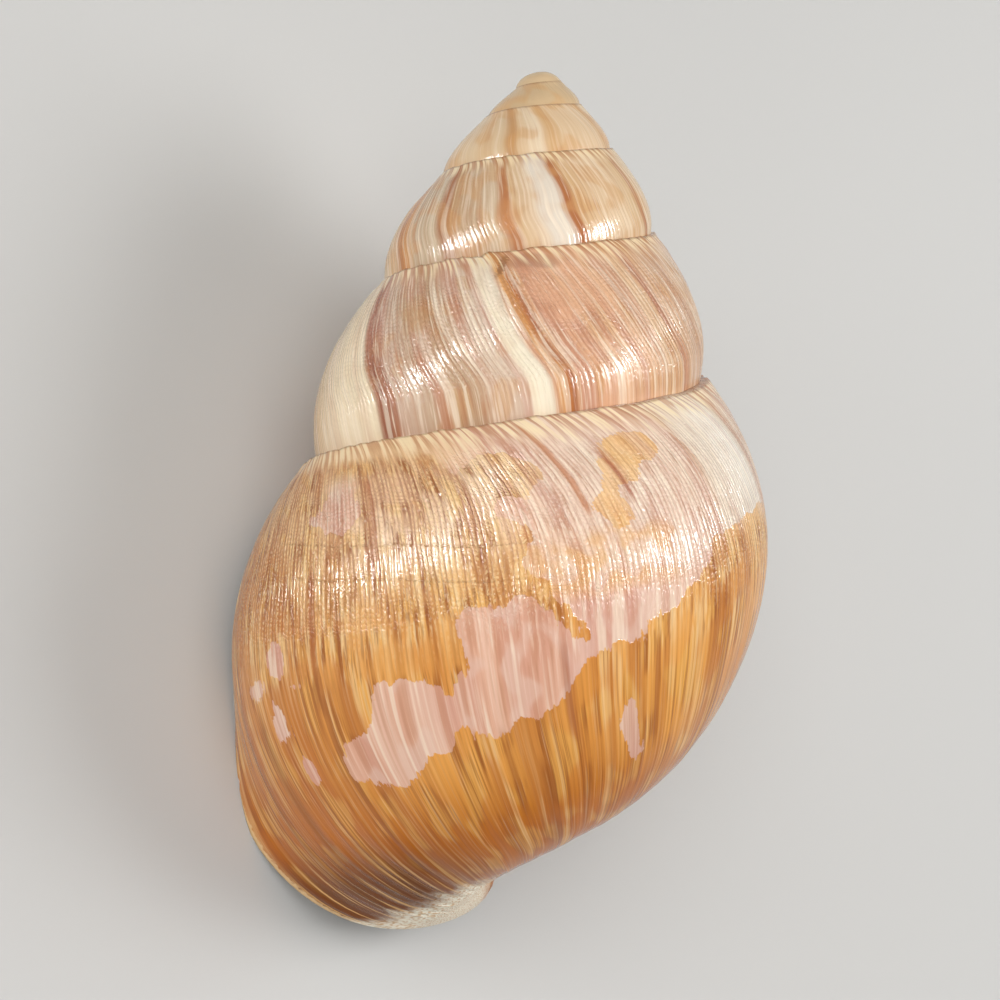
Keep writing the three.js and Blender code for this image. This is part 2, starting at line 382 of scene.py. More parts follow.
def make_pillar():
    """The pillar up the middle: a twisted rod that swells as it winds and curls into the lip."""
    sides, steps = 28, 110
    closing = 0.03
    deselect_all()
    bpy.ops.mesh.primitive_grid_add(x_subdivisions=sides, y_subdivisions=steps, size=2,
                                    location=(0, 0, 0))
    pillar = bpy.context.object
    pillar.name = "shell_pillar"
    co = read_corners(pillar.data)
    angle = (co[:, 0] + 1) * math.pi
    share = (co[:, 1] + 1) / 2
    wound = np.clip((share - closing) / (1 - 2 * closing), 0, 1)
    turns = PILLAR_TURNS[0] + (PILLAR_TURNS[1] - PILLAR_TURNS[0]) * wound
    edge, depth = section(turns, np.full(len(turns), 3.0))
    foot = smooth(turns, FOOT_FROM, PILLAR_TURNS[1])
    radius = (edge + PILLAR_STOUTNESS) * (1 - foot) + FOOT_RADIUS * foot
    close = np.clip(1 - share / closing, 0, 1) + np.clip(1 - (1 - share) / closing, 0, 1)
    depth = depth + np.where(share > 0.5, 0.7, -0.7) * close * radius
    bearing = bearing_at(turns)
    fold = 1 + 0.12 * np.cos(angle + bearing) ** 3 * smooth(share, 0.1, 0.4)
    radius = radius * fold * np.sqrt(np.maximum(1 - close ** 2, 0))
    reach = FOOT_REACH * foot * edge
    points = np.stack([bow_at(depth) + radius * np.cos(angle) - reach * np.sin(bearing),
                       radius * np.sin(angle) - reach * np.cos(bearing), -depth], -1)
    write_corners(pillar.data, lay_down(points))
    paint_maps(pillar.data, np.stack([share * 2 + angle * 0.02, share], -1),
               np.stack([share * 2, share], -1), np.tile((WEAR_REACH / WEAR_UNIT, 0), (len(co), 1)))
    only(pillar)
    bpy.ops.object.mode_set(mode="EDIT")
    bpy.ops.mesh.select_all(action="SELECT")
    bpy.ops.mesh.remove_doubles(threshold=1e-5)
    bpy.ops.mesh.normals_make_consistent(inside=False)
    bpy.ops.object.mode_set(mode="OBJECT")
    bpy.ops.object.shade_smooth()
    return pillar


class Amount:
    """A number that changes over the surface. Arithmetic on it adds Math nodes."""

    def __init__(self, finish, socket):
        self.finish = finish
        self.socket = socket

    def math(self, operation, *values):
        made = self.finish.node("ShaderNodeMath", {"operation": operation}, dict(enumerate(values)))
        return Amount(self.finish, made.outputs[0])

    def __add__(self, other):
        return self.math("ADD", self, other)

    def __sub__(self, other):
        return self.math("SUBTRACT", self, other)

    def __mul__(self, other):
        return self.math("MULTIPLY", self, other)

    def __truediv__(self, other):
        return self.math("DIVIDE", self, other)

    def __rsub__(self, other):
        return self.math("SUBTRACT", other, self)

    def __pow__(self, other):
        return self.math("POWER", self, other)

    __radd__ = __add__
    __rmul__ = __mul__

    def most(self, other):
        return self.math("MAXIMUM", self, other)

    def size(self):
        return self.math("ABSOLUTE", self)

    def wave(self):
        return self.math("SINE", self)

    def step(self, low, high):
        """0 at low and 1 at high, with a soft change between them."""
        made = self.finish.node("ShaderNodeMapRange", {"interpolation_type": "SMOOTHSTEP"},
                                {"Value": self, "From Min": low, "From Max": high})
        return Amount(self.finish, made.outputs[0])


class Finish:
    """A material that is being made."""

    def __init__(self, name):
        self.material = bpy.data.materials.new(name)
        self.material.use_nodes = True
        self.tree = self.material.node_tree
        self.tree.nodes.clear()

    def node(self, kind, settings=None, inputs=None):
        made = self.tree.nodes.new(kind)
        for key, value in (settings or {}).items():
            setattr(made, key, value)
        for key, value in (inputs or {}).items():
            socket = made.inputs[key]
            if isinstance(value, Amount):
                self.tree.links.new(value.socket, socket)
            elif isinstance(value, bpy.types.NodeSocket):
                self.tree.links.new(value, socket)
            else:
                socket.default_value = value
        return made

    def map(self, name):
        """The two amounts of a UV map of the piece."""
        made = self.node("ShaderNodeUVMap", {"uv_map": name})
        split = self.node("ShaderNodeSeparateXYZ", None, {0: made.outputs[0]})
        return Amount(self, split.outputs[0]), Amount(self, split.outputs[1])

    def noise(self, x, y, seed=0.0, detail=2.0, roughness=0.5):
        """Smooth random amount about 0.5, one swelling for each unit of x and of y."""
        spot = self.node("ShaderNodeCombineXYZ", None, {0: x + seed * 13.7, 1: y + seed * 7.3}).outputs[0]
        made = self.node("ShaderNodeTexNoise", {"noise_dimensions": "2D"},
                         {"Vector": spot, "Scale": 1.0, "Detail": detail, "Roughness": roughness})
        return Amount(self, made.outputs[0])

    def furrow(self, level, places):
        """1 along narrow lines at the given places, 0 elsewhere."""
        lines = [(level - place).size().step(0.009, 0.002) for place in places]
        total = lines[0]
        for line in lines[1:]:
            total = total.most(line)
        return total

    def blend(self, share, first, second):
        """The first colour where the share is 0 and the second where it is 1."""
        made = self.node("ShaderNodeMix", {"data_type": "RGBA", "clamp_factor": True},
                         {0: share, 6: first, 7: second})
        return made.outputs[2]

    def layers(self, colour, layers):
        """The colour after each layer, a share and a tint, has been laid over it in turn."""
        for share, shade in layers:
            colour = self.blend(share, colour, tint(*shade))
        return colour

    def bump(self, height, distance, strength=1.0):
        made = self.node("ShaderNodeBump", None,
                         {"Height": height, "Distance": distance, "Strength": strength})
        return made.outputs[0]

    def surface(self, inputs):
        body = self.node("ShaderNodeBsdfPrincipled", None, inputs)
        self.node("ShaderNodeOutputMaterial", None, {"Surface": body.outputs[0]})
        return self.material


def tint(*screen):
    """A colour given as seen on a screen, from 0 to 255, as the light amounts that nodes use."""
    def light(value):
        share = value / 255
        return share / 12.92 if value <= 10 else ((share + 0.055) / 1.055) ** 2.4
    return tuple(light(value) for value in screen) + (1.0,)


# Colours of the bare shell along the growth, read at the widest part: millimetres grown and colour.
# A whorl's record is mixed evenly between two entries, so a hard edge is two entries close together.
CREAM = (230, 204, 168)
WHITE = (240, 228, 204)
TAN = (218, 184, 142)
PINK = (222, 180, 154)
PALE_PINK = (230, 198, 174)
MAUVE = (204, 166, 146)
BROWN = (168, 108, 70)
MAROON = (150, 92, 66)
AMBER = (210, 148, 88)

TIP_RECORD = (
    (0, (212, 184, 146)), (44, (208, 178, 138)), (47, (216, 190, 154)), (60, (212, 180, 140)),
    (66, TAN), (68, CREAM), (76.5, CREAM), (77.8, (210, 170, 124)), (79.0, (210, 170, 124)),
    (80.4, (226, 198, 164)), (88, (222, 192, 154)), (89.5, (212, 170, 122)), (90.6, (212, 170, 122)),
    (92, (232, 212, 182)), (95.4, (222, 190, 150)), (96.2, (200, 154, 106)), (97.0, (200, 154, 106)),
    (98.4, (220, 194, 158)), (101.2, TAN), (103, (220, 194, 158)), (110, TAN), (116, CREAM),
    (121, AMBER), (123, CREAM), (131, TAN), (136, CREAM), (140, BROWN), (141, CREAM), (148, TAN),
    (152, CREAM),
)
THIRD_RECORD = (
    (152, CREAM), (157, BROWN), (158, TAN), (165, CREAM), (169.8, TAN), (170.4, (184, 128, 84)),
    (171.0, (184, 128, 84)), (171.6, TAN), (178, (232, 206, 172)), (184.8, (210, 170, 124)),
    (185.6, (176, 112, 70)), (186.4, (176, 112, 70)), (187.3, (228, 214, 196)),
    (190.0, (228, 214, 196)), (191.2, (226, 200, 168)), (194.0, TAN), (194.8, (186, 124, 82)),
    (195.6, (186, 124, 82)), (196.8, (214, 190, 160)), (201.5, (198, 168, 136)),
    (204.2, (196, 156, 112)), (205.0, (166, 106, 66)), (205.9, (166, 106, 66)),
    (207.2, (204, 182, 152)), (212.5, (196, 172, 142)), (214.6, AMBER), (216.4, (190, 130, 84)),
    (219, CREAM), (227, TAN), (229, BROWN), (230.6, CREAM), (238, TAN),
)
FOURTH_RECORD = (
    (238, TAN), (243, CREAM), (251, MAUVE), (253, WHITE), (260, TAN), (262, BROWN), (264, PALE_PINK),
    (272, CREAM), (279, MAUVE), (281, BROWN), (282.5, WHITE), (292, TAN), (299, PALE_PINK),
    (304, (234, 204, 172)), (310.8, (222, 186, 152)), (311.3, (184, 128, 92)), (311.8, (218, 180, 144)),
    (315.5, (218, 178, 144)), (318.2, (206, 156, 112)), (318.8, (176, 118, 82)),
    (319.6, (226, 188, 150)), (322.6, (236, 202, 164)), (327, (230, 184, 148)), (332, (236, 194, 158)),
    (336, (226, 176, 140)), (340.2, (212, 160, 122)), (340.7, (170, 108, 74)),
)
FIFTH_RECORD = (
    (340.7, (170, 108, 74)), (341.2, (186, 116, 66)), (341.8, AMBER), (342.9, (222, 164, 104)),
    (343.6, WHITE), (346.2, (246, 232, 204)), (347.2, (224, 202, 180)), (350, (218, 192, 168)),
    (352, (216, 186, 160)), (354, (196, 162, 130)), (358, (194, 162, 128)), (362, (202, 172, 146)),
    (365.6, (204, 172, 150)), (366.1, (150, 92, 70)), (366.8, (176, 122, 96)), (367.5, (140, 80, 58)),
    (368.8, (158, 100, 74)), (369.6, (240, 222, 190)), (380, (236, 216, 184)), (388, TAN), (396, CREAM),
    (399, BROWN), (401, PALE_PINK), (414, TAN), (417, MAROON), (418.5, CREAM), (430, PINK), (442, TAN),
    (444, BROWN), (446, WHITE), (457, PALE_PINK), (470, TAN),
)
BODY_RECORD = (
    (470, TAN), (478, (226, 194, 168)), (486, (220, 190, 168)), (492, (228, 202, 180)),
    (497, (222, 190, 164)), (502, (232, 208, 184)), (504.5, (204, 160, 130)), (506, (230, 208, 184)),
    (508.5, (248, 240, 226)), (513.5, (246, 236, 220)), (516, (236, 222, 204)),
    (522.8, (234, 214, 192)), (523.4, (196, 142, 106)), (524.0, (238, 214, 192)),
    (530, (238, 208, 186)), (538, (236, 210, 190)), (546, (236, 206, 184)), (552, (240, 208, 184)),
    (555, (236, 194, 168)), (562, (238, 194, 166)), (575, (232, 186, 160)), (600, (226, 180, 154)),
    (628, (220, 186, 156)),
)

# Single dark streaks of the body whorl: millimetres grown and half width, first and last place,
# strength, colour
BODY_STREAKS = (
    (546.2, 0.8, 0.03, 0.56, 0.75, (190, 120, 78)),
    (538.4, 0.6, 0.27, 0.52, 0.75, (170, 92, 58)),
    (577.8, 0.9, 0.22, 0.70, 0.50, (172, 98, 62)),
    (589.2, 0.9, 0.70, 1.08, 0.50, (166, 92, 48)),
    (563.0, 0.9, 1.32, 1.60, 0.50, (152, 84, 36)),
    (558.5, 0.7, 1.42, 1.78, 0.50, (152, 84, 36)),
    (553.0, 0.8, 1.10, 1.36, 0.50, (160, 96, 66)),
    (538.6, 0.7, 1.12, 1.45, 0.60, (146, 72, 30)),
    (606.0, 1.6, 1.20, 1.62, 0.45, (128, 70, 22)),
    (614.5, 1.0, 1.15, 1.60, 0.45, (120, 64, 20)),
)

# Soft stains of the spire: millimetres grown and half length, place and half height, strength, colour
SPIRE_STAINS = (
    (333, 8.5, 0.36, 0.30, 0.45, (232, 178, 138)),
    (334.5, 5.5, 0.11, 0.09, 0.50, (152, 108, 86)),
    (359, 3.6, 0.42, 0.17, 0.45, (196, 154, 100)),
    (195.5, 2.4, 0.76, 0.20, 0.50, (204, 144, 94)),
)

# Course of the growth lines over the surface: how far, in millimetres grown, a line at each place lies
# from where the law has it, for some lengths grown
COURSE_PLACES = (-0.25, 0, 0.25, 0.5, 0.75, 1.0, 1.25, 1.5, 1.75, 2.0, 3.0)
COURSES = (
    (0, (0, 0, 0, 0, 0, 0, 0, 0, 0, 0, 0)),
    (90, (-1.6, -1.4, -0.4, 0, 0.2, -0.3, -0.6, -1, -1, -1, -1)),
    (190, (-4.6, -3.7, -1.2, 0, 0.4, -1.0, -2, -2.5, -2.5, -2.5, -2.5)),
    (345, (-4.6, -2.8, 0.2, 0.9, -0.6, -3.8, -5, -5, -5, -5, -5)),
    (470, (-5.5, -4, -1.2, 0, 0, -1, -2, -3, -2, -1, 0)),
    (560, (-5.5, -4, -1.1, 0, 0.2, -0.1, -1.0, -2.2, -1.5, -0.5, 0)),
    (640, (-4, -3, -0.8, 0, 0.2, 0, -0.4, -1, -0.5, 0, 0)),
)

# Patches where the body whorl's skin has worn off, drawn as outlines: millimetres grown and place
UPPER_BARE = (
    (440, -0.9), (440, 0.95), (480, 0.9), (500, 0.74), (509, 0.70), (516, 0.72), (522, 0.76),
    (526.5, 0.78), (527.5, 0.85), (529.4, 0.92), (531.2, 0.97), (533.5, 1.015), (535.6, 1.06),
    (537.5, 1.03), (539.4, 1.08), (541, 1.125), (543.7, 1.14), (547.2, 1.124), (549.4, 1.07),
    (551.2, 1.0), (552.5, 0.95), (553.7, 0.87), (556, 0.82), (556.9, 0.75), (556.2, 0.67), (555.6, 0.6),
    (556.8, 0.56), (559.3, 0.51), (559.2, 0.46), (556.5, 0.44), (554.0, 0.45), (552.5, 0.41),
    (550.4, 0.36), (549.8, 0.28), (550.6, 0.2), (553.7, 0.175), (556.9, 0.215), (560, 0.245),
    (561.5, 0.29), (562.0, 0.22), (560.5, 0.15), (564, 0.11), (572, 0.085), (580, 0.07), (600, 0.05),
    (632, 0.03), (632, -0.9),
)
AMBER_ISLAND = (
    (526.9, 0.18), (530, 0.16), (535, 0.18), (536.9, 0.22), (539.4, 0.29), (540.6, 0.38), (541.9, 0.48),
    (545, 0.505), (545.2, 0.56), (543.7, 0.65), (541.9, 0.665), (540.2, 0.61), (540.2, 0.52),
    (539.4, 0.44), (536.3, 0.45), (533.7, 0.36), (530, 0.33), (527.5, 0.26),
)
LOWER_BARE = (
    ((557.7, 0.885), (560, 0.93), (562.2, 0.95), (564.4, 0.95), (566.6, 0.96), (567.2, 1.015),
     (566.3, 1.078), (565.6, 1.146), (567.7, 1.18), (568.4, 1.214), (570.2, 1.173), (573.7, 1.146),
     (576.2, 1.135), (579, 1.135), (579.5, 1.2), (580, 1.24), (583.5, 1.27), (586.5, 1.31),
     (587, 1.364), (584.4, 1.413), (578.7, 1.424), (575, 1.405), (573.7, 1.37), (570, 1.35),
     (568.5, 1.28), (565.6, 1.31), (561.9, 1.32), (558.1, 1.296), (555, 1.277), (551.9, 1.255),
     (550, 1.2), (548.7, 1.16), (546.0, 1.128), (549, 1.085), (551.9, 1.07), (553.5, 1.023),
     (555.6, 0.98), (556.2, 0.94)),
    ((579.4, 0.232), (581.2, 0.224), (584.4, 0.26), (586.9, 0.327), (588.1, 0.41), (590.2, 0.415),
     (590, 0.435), (587.7, 0.464), (586.9, 0.513), (583.7, 0.518), (581.2, 0.477), (579.7, 0.41),
     (579, 0.3)),
    ((596.9, 1.004), (599, 0.988), (599.7, 1.031), (598.7, 1.09), (596.9, 1.105), (595.6, 1.064)),
    ((601.5, 1.105), (604.4, 1.083), (607.2, 1.124), (605, 1.16), (601.9, 1.146)),
    ((597.2, 1.173), (600, 1.15), (602.2, 1.2), (601.5, 1.27), (598.7, 1.28), (596.6, 1.24)),
    ((593.7, 1.337), (595.6, 1.318), (597.2, 1.35), (596, 1.386), (593.5, 1.372)),
    ((593.1, 1.124), (595.2, 1.113), (594.7, 1.146)),
    ((541.9, 1.296), (544, 1.31), (543.7, 1.378), (541.9, 1.419), (541.5, 1.473), (539.4, 1.479),
     (538.5, 1.446), (540.6, 1.405), (541, 1.337)),
)
MM_PER_PLACE = 45.0
UNSEEN_PATCHES = 26

# The map of wear tells the distance from an edge up to this many millimetres
WEAR_REACH = 9.0

# Millimetres from one growth rib, spiral groove or crimp of the seam to the next
RIB_PERIOD = 0.80
GROOVE_PERIOD = 1.3
CRIMP_PERIOD = 2.3

# How far the spiral grooves climb for each millimetre grown, and where the deep ones lie
GROOVE_SLOPE = 0.162
DEEP_GROOVES = (2.676, 2.846)

# Height in metres that 1 stands for in the skin's bump
BUMP_HEIGHT = 0.00013

# Lengths grown at the edge of the lip, and one turn before it, inside the mouth
LIP_LENGTH = along(TURNS)
MOUTH_LENGTH = along(TURNS - 1)


def course(length, place):
    """How far the growth line through each point lies from where the law has it, in millimetres."""
    lengths = [row[0] for row in COURSES]
    knots = np.array([np.interp(length, lengths, column) for column in zip(*(row[1] for row in COURSES))])
    spot = np.interp(place, COURSE_PLACES, range(len(COURSE_PLACES)))
    low = np.clip(np.floor(spot).astype(int), 0, len(COURSE_PLACES) - 2)
    x = spot - low
    each = np.arange(len(length))
    before, start, end, after = (knots[np.clip(low + k, 0, len(knots) - 1), each] for k in (-1, 0, 1, 2))
    curve = 2 * start + (end - before) * x + (2 * before - 5 * start + 4 * end - after) * x * x
    return (curve + (3 * start - before - 3 * end + after) * x ** 3) / 2


def outline_distance(length, place, outline):
    """Millimetres inside an outline (positive) or outside it (negative)."""
    corners = np.array(outline, dtype=float) * (1, MM_PER_PLACE)
    x, y = length, place * MM_PER_PLACE
    nearest = np.full(len(x), 1e9)
    inside = np.zeros(len(x), dtype=bool)
    for (ax, ay), (bx, by) in zip(corners, np.roll(corners, -1, axis=0)):
        dx, dy = bx - ax, by - ay
        share = np.clip(((x - ax) * dx + (y - ay) * dy) / (dx * dx + dy * dy), 0, 1)
        nearest = np.minimum(nearest, np.hypot(x - ax - share * dx, y - ay - share * dy))
        if dy:
            inside ^= ((ay > y) != (by > y)) & (x < dx * (y - ay) / dy + ax)
    return np.where(inside, nearest, -nearest)


def bare_distance(length, place):
    """How far a point is inside the bare shell, in millimetres; below 0 it has its skin."""
    bare = outline_distance(length, place, UPPER_BARE)
    bare = np.minimum(bare, -outline_distance(length, place, AMBER_ISLAND))
    for outline in LOWER_BARE:
        bare = np.maximum(bare, outline_distance(length, place, outline))
    random = np.random.default_rng(12)
    for _ in range(UNSEEN_PATCHES):
        centre, middle = random.uniform(402, 520), random.uniform(0.75, 1.9)
        half, high = random.uniform(2, 9), random.uniform(2, 7)
        if centre + half > 503:
            continue
        x, y = (length - centre) / half, (place - middle) * MM_PER_PLACE / high
        turn = np.arctan2(y, x)
        lobes = 0.26 * np.cos(2 * turn + centre) + 0.20 * np.cos(3 * turn + 5 * centre)
        lobes = lobes + 0.12 * np.cos(5 * turn + half)
        bare = np.maximum(bare, (1 + lobes - np.hypot(x, y)) * min(half, high))
    older = WEAR_REACH * (2 * smooth(length, 405, 385) - 1)
    return np.clip(np.maximum(bare, older), -WEAR_REACH, WEAR_REACH)


def record_ramp(finish, grown, record):
    """The colour that a whorl's growth record gives at each length grown."""
    first, last = record[0][0], record[-1][0]
    share = (grown - first) / (last - first)
    made = finish.node("ShaderNodeValToRGB", None, {"Fac": share})
    ramp = made.color_ramp
    ramp.elements[0].color = tint(*record[0][1])
    ramp.elements[1].color = tint(*record[-1][1])
    for length, colour in record[1:-1]:
        ramp.elements.new((length - first) / (last - first)).color = tint(*colour)
    return made.outputs[0]


class Outside:
    """What the outside's patterns share: lengths in millimetres, random streaks, ribs and grooves, and
    the painted shade in the rib troughs and painted highlights on the rib crests.
    """

    def __init__(self, finish):
        length, place = finish.map("growth")
        grown, across = finish.map("skin")
        length, grown, across = length * LENGTH_UNIT, grown * LENGTH_UNIT, across * LENGTH_UNIT

        # random streaks that run down the growth lines, shorter on the spire, longer towards the base
        low_part = (place - 1.15).most(0)
        down = across * (1 - low_part * 0.67 / place.most(0.5)) * (length.step(280, 460) * 0.6 + 0.4)
        drift = finish.noise(length * 0.08, across * 0.035, 1, 0.0) - 0.5
        bent = grown + drift * 1.2
        broad = finish.noise(bent * 0.24, down * 0.022, 2, 1.0)
        middle = finish.noise(bent * 0.70, down * 0.050, 3, 2.0, 0.6)
        fine = finish.noise(bent * 1.9, down * 0.15, 4, 2.0, 0.6)
        mottle = finish.noise(length * 0.22, across * 0.14, 5, 1.0)
        speck = finish.noise(length * 1.3, across * 1.3, 6, 1.0, 0.6)

        # fine growth ribs, crossed by spiral grooves on the upper part of the later whorls
        old = length.step(30, 330) * 0.75 + length.step(30, 80) * 0.25
        strong = place.step(0.06, 0.28) * place.step(1.15, 0.85) * length.step(150, 280)
        ribs = (bent * (2 * math.pi / RIB_PERIOD) + middle * 8 + fine * 3).wave() * 0.5 + 0.5
        level = across + length * GROOVE_SLOPE
        bend = drift * 12 + mottle * 22 + fine * 12
        groove = (level * (2 * math.pi / GROOVE_PERIOD) + bend).wave().step(-0.3, 0.95)
        # painted highlight: light dashes on the rib crests, broken by the spiral grooves
        painted_crest_highlight = ribs.step(0.55, 0.95) * (1 - groove) * strong * speck.step(0.36, 0.58)
        deep = place + length * GROOVE_SLOPE / MM_PER_PLACE + drift * 0.03 + fine * 0.012
        furrow = finish.furrow(deep, DEEP_GROOVES) * length.step(545, 565) * length.step(602, 592)

        self.length, self.place, self.grown, self.across = length, place, grown, across
        self.bare_mm = finish.map("wear")[0] * WEAR_UNIT
        self.drift, self.broad, self.middle, self.fine = drift, broad, middle, fine
        self.mottle, self.speck, self.old = mottle, speck, old
        self.busy = mottle.step(0.34, 0.62) * 0.7 + 0.3
        self.strong, self.ribs, self.groove = strong, ribs, groove
        # painted shade in the rib troughs and painted highlights on the rib crests, both laid into the
        # colour
        self.painted_trough_shade = ribs.step(0.50, 0.05) * (0.10 + strong * 0.22) * old
        self.painted_crest_highlight = painted_crest_highlight * (old - length.step(420, 360) * 0.5)
        self.furrow = furrow * place.step(1.1, 0.9) * speck.step(0.44, 0.60)
        self.record_at = grown + drift * 1.3 + (fine - 0.5) * 0.8


def bare_shell(finish, on):
    """Colour of the bare shell: each whorl's record of bands, varied by streaks and stains, with painted
    shade in the rib troughs and painted highlights on the rib crests.
    """
    at = on.record_at
    colour = record_ramp(finish, at, TIP_RECORD)
    for record in (THIRD_RECORD, FOURTH_RECORD, FIFTH_RECORD, BODY_RECORD):
        start = record[0][0]
        bands = record_ramp(finish, at, record)
        colour = finish.blend(at.step(start - 0.05, start + 0.05), colour, bands)

    # the palest bands keep clear of streaks, and the lower patches are softer and rosier
    pale = at.step(343.0, 343.8) * at.step(347.2, 346.2)
    pale = pale + at.step(186.9, 187.6) * at.step(190.8, 189.8)
    pale = pale + at.step(368.4, 369.6) * at.step(392, 384)
    pale = pale + at.step(504, 509) * at.step(528, 518) * on.place.step(0.8, 0.5) * 0.8
    calm = 1 - pale * 0.75
    soft = 1 - on.length.step(480, 540) * on.place.step(0.8, 1.0) * 0.6
    rosy = on.length.step(480, 540) * on.place.step(0.80, 0.95)
    lively = on.old * on.busy * calm
    colour = finish.layers(colour, (
        (on.mottle.step(0.50, 0.66) * 0.45 * calm * on.length.step(420, 330), (210, 158, 102)),
        (on.broad.step(0.50, 0.66) * 0.50 * calm * on.length.step(290, 330), (198, 140, 122)),
        (rosy * 0.50, (208, 148, 122)),
        (rosy * on.mottle.step(0.48, 0.36) * 0.40, (230, 200, 184)),
        (rosy * on.drift.step(-0.04, 0.16) * 0.35, (204, 144, 130)),
        (rosy * on.broad.step(0.47, 0.33) * 0.40, (240, 206, 184)),
        (on.middle.step(0.50, 0.68) * 0.42 * lively, (188, 126, 88)),
        (on.middle.step(0.46, 0.32) * 0.50 * on.old, (250, 232, 208)),
        (on.fine.step(0.52, 0.68) * 0.40 * lively * soft, (170, 108, 72)),
        (on.fine.step(0.45, 0.30) * 0.50 * on.old * soft, (250, 234, 210)),
        # painted shade in the rib troughs and painted highlight on the rib crests
        (on.painted_trough_shade * calm * soft, (176, 116, 82)),
        (on.painted_crest_highlight * calm * 0.35, (250, 236, 214)),
        (on.length.step(550, 566) * on.place.step(0.32, 0.14) * 0.7, (238, 202, 150)),
    ))

    # stains of the spire and the dark mark by the old scar above the pale band
    for centre, half, middle_place, high, share, shade in SPIRE_STAINS:
        off = ((on.length - centre) / half) ** 2 + ((on.place - middle_place) / high) ** 2
        stain = (off + (on.mottle - 0.5) * 1.6).step(1.1, 0.1)
        colour = finish.blend(stain * share, colour, tint(*shade))
    scar = (on.length - 335.6 - on.place * 31 + (on.speck - 0.5) * 1.5).size().step(0.95, 0.25)
    scar = scar * on.place.step(0.02, 0.07) * on.place.step(0.27, 0.17)
    return finish.blend(scar * 0.8, colour, tint(138, 96, 66))


def golden_skin(finish, on, thin):
    """Colour of the golden skin, paler under the seam, darker towards the base, the lip and the flank,
    with a painted highlight haze over the upper middle and painted shade and highlights on the ribs.
    """
    length, place = on.length, on.place
    colour = finish.blend(place.step(0.1, 0.9), tint(246, 212, 166), tint(238, 188, 126))
    # partly a paler thin skin, partly a painted highlight haze over the upper middle of the body whorl
    paler_skin_and_painted_haze = length.step(536, 556) * length.step(592, 574) * place.step(0.14, 0.30) * place.step(0.80, 0.55)
    near_lip = length.step(572, 598)
    flank = length.step(532, 512) * place.step(1.10, 1.35)
    dark = on.busy * (1 - thin * 0.6)
    base = place.step(0.95, 1.35)
    return finish.layers(colour, (
        (place.step(0.65, 1.3), (230, 160, 78)),
        (place.step(1.36, 1.66), (188, 104, 12)),
        (paler_skin_and_painted_haze * (0.35 + on.mottle * 0.6), (250, 218, 190)),
        (near_lip * (place.step(1.1, 1.5) * 0.40 + 0.35), (176, 94, 20)),
        (flank * 0.55, (196, 116, 40)),
        (on.broad.step(0.46, 0.62) * 0.55, (178, 104, 48)),
        (on.drift.step(0.0, 0.22) * 0.40, (196, 116, 44)),
        (on.mottle.step(0.48, 0.68) * 0.40, (232, 178, 92)),
        (on.middle.step(0.51, 0.63) * 0.75 * dark, (150, 80, 34)),
        (on.middle.step(0.45, 0.33) * (0.70 - base * 0.35) * on.busy, (240, 200, 142)),
        (on.fine.step(0.52, 0.66) * 0.50 * dark, (142, 78, 36)),
        (on.fine.step(0.45, 0.31) * (0.60 - base * 0.35) * on.busy, (246, 214, 164)),
        # painted shade in the rib troughs and painted highlight on the rib crests
        (on.painted_trough_shade * (1 - thin * 0.5), (150, 84, 38)),
        (on.painted_crest_highlight * 0.55, (250, 220, 168)),
        (on.furrow * 0.2, (150, 88, 44)),
        (thin * 0.35, (236, 176, 104)),
    ))


def skin_cover(on):
    """1 where the golden skin is whole and 0 where it is worn off; its edge is soft under the seam."""
    ragged = (on.speck - 0.5) * 0.8 + (on.mottle - 0.5) * 3.2
    ragged = ragged + (on.fine - 0.5) * 1.1 + (on.middle - 0.5) * 1.5
    fading = on.length.step(560, 566) * on.place.step(0.34, 0.20)
    bare_mm = on.bare_mm + ragged * on.bare_mm.size().step(6.0, 0.5) + fading * 1.2
    return (bare_mm / (1 + fading * 22)).step(0.10, -0.10)


